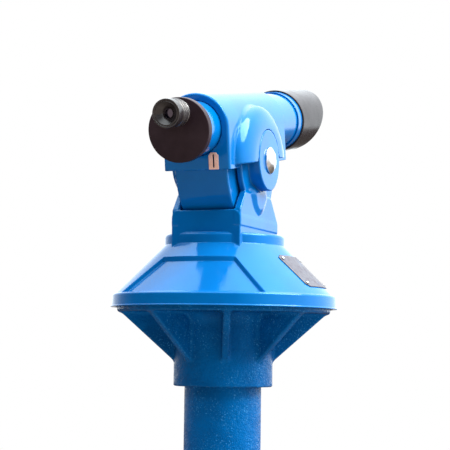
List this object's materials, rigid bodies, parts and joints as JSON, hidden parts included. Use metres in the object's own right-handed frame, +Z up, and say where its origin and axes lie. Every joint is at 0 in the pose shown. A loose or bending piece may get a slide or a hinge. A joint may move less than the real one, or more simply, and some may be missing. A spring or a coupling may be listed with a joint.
{
  "type": "coin-operated sightseeing telescope",
  "caption": "Free-standing coin-operated viewing telescope: ribbed pedestal column, panning skirt and fork, tilting tube with lens hood, eyepiece, coin plate and cash door.",
  "frame": {"origin": "centre of the base flange's underside, on the floor", "axes": "+Z up the column, +Y the way the telescope points at rest, +X to the right of the telescope seen from its eyepiece"},
  "size_m": [0.474, 0.8367, 1.677],
  "materials": {
    "gloss_blue_enamel": "smooth glossy enamel on castings",
    "cast_blue_enamel": "blue enamel over coarse sand-cast iron",
    "black_enamel": "semi-gloss black",
    "black_plastic": "moulded black plastic",
    "chromed_steel": "polished",
    "machined_steel": "machined",
    "zinc_plated_steel": "zinc plated",
    "copper_plate": "worn copper-coloured brass",
    "bearing_bronze": "machined bronze",
    "aluminium": "anodised",
    "optical_glass": "coated optical glass"
  },
  "bodies": {
    "pedestal": {"base_flange": "cast_blue_enamel", "anchor_bolt_1": "zinc_plated_steel", "anchor_bolt_2": "zinc_plated_steel", "anchor_bolt_3": "zinc_plated_steel", "anchor_bolt_4": "zinc_plated_steel", "anchor_bolt_5": "zinc_plated_steel", "anchor_bolt_6": "zinc_plated_steel", "column_tube": "cast_blue_enamel", "collar_casting": "cast_blue_enamel", "azimuth_spindle": "machined_steel", "thrust_race_lower": "machined_steel", "thrust_ball_ring": "bearing_bronze", "spindle_washer": "machined_steel", "spindle_nut": "zinc_plated_steel"},
    "head": {"thrust_race_upper": "machined_steel", "hub_bushing": "bearing_bronze", "skirt_hood": "gloss_blue_enamel", "nameplate": "machined_steel", "plate_screw_upper_left": "machined_steel", "plate_screw_lower_left": "machined_steel", "plate_screw_upper_right": "machined_steel", "plate_screw_lower_right": "machined_steel", "fork_casting": "gloss_blue_enamel", "fork_bolt_1": "zinc_plated_steel", "fork_bolt_2": "zinc_plated_steel", "fork_bolt_3": "zinc_plated_steel", "fork_bolt_4": "zinc_plated_steel", "pivot_bushing_right": "bearing_bronze", "pivot_bushing_left": "bearing_bronze"},
    "scope": {"saddle_housing": "gloss_blue_enamel", "drum_shield": "gloss_blue_enamel", "cash_box": "zinc_plated_steel", "coin_plate": "copper_plate", "coin_chute": "zinc_plated_steel", "timer_unit": "black_plastic", "pivot_bolt_right": "chromed_steel", "pivot_bolt_left": "chromed_steel", "friction_washer_right": "bearing_bronze", "friction_washer_left": "bearing_bronze", "main_tube": "gloss_blue_enamel", "tube_flange_ring": "gloss_blue_enamel", "lens_hood": "black_enamel", "objective_cell": "aluminium", "objective_crown": "optical_glass", "objective_flint": "optical_glass", "lens_retainer": "aluminium", "shutter_bulkhead": "black_enamel", "shutter_solenoid": "machined_steel", "prism_holder": "aluminium", "prism_lower": "optical_glass", "prism_upper": "optical_glass", "rear_cap": "black_enamel", "eyepiece_barrel": "aluminium"},
    "cash_door": {"cash_door": "gloss_blue_enamel"},
    "cash_lock": {"cash_lock": "chromed_steel"},
    "focus_ring": {"focus_ring": "black_plastic"},
    "eyecup": {"eyecup": "black_plastic", "eye_lens": "optical_glass"},
    "shutter": {"shutter_blade": "black_enamel"}
  },
  "joints": [
    {"name": "head_pan", "type": "hinge", "parent": "pedestal", "child": "head", "pos_m": [0, 0, 1.13], "axis": [0, 0, 1], "continuous": true},
    {"name": "scope_tilt", "type": "hinge", "parent": "head", "child": "scope", "pos_m": [0, 0, 1.439], "axis": [1, 0, 0], "range_deg": [-40, 20]},
    {"name": "cash_door_hinge", "type": "hinge", "parent": "scope", "child": "cash_door", "pos_m": [0, 0.14744, 1.4261], "axis": [1, 0, 0], "range_deg": [0, 95]},
    {"name": "cash_lock_turn", "type": "hinge", "parent": "cash_door", "child": "cash_lock", "pos_m": [0, 0.12686, 1.36277], "axis": [0, 0.8572, -0.515], "range_deg": [-90, 0]},
    {"name": "focus_turn", "type": "hinge", "parent": "scope", "child": "focus_ring", "pos_m": [0, -0.28992, 1.49958], "axis": [0, -0.9848, -0.1736], "range_deg": [0, 300]},
    {"name": "focus_slide", "type": "slide", "parent": "scope", "child": "eyecup", "axis": [0, -0.9848, -0.1736], "range_m": [0, 0.006]},
    {"name": "shutter_swing", "type": "hinge", "parent": "scope", "child": "shutter", "pos_m": [0, -0.16417, 1.44864], "axis": [0, -0.9848, -0.1736], "range_deg": [0, 42]}
  ],
  "couplings": [
    {"joint": "focus_slide", "follows": "focus_turn", "m_per_rad": 0.0011459}
  ]
}
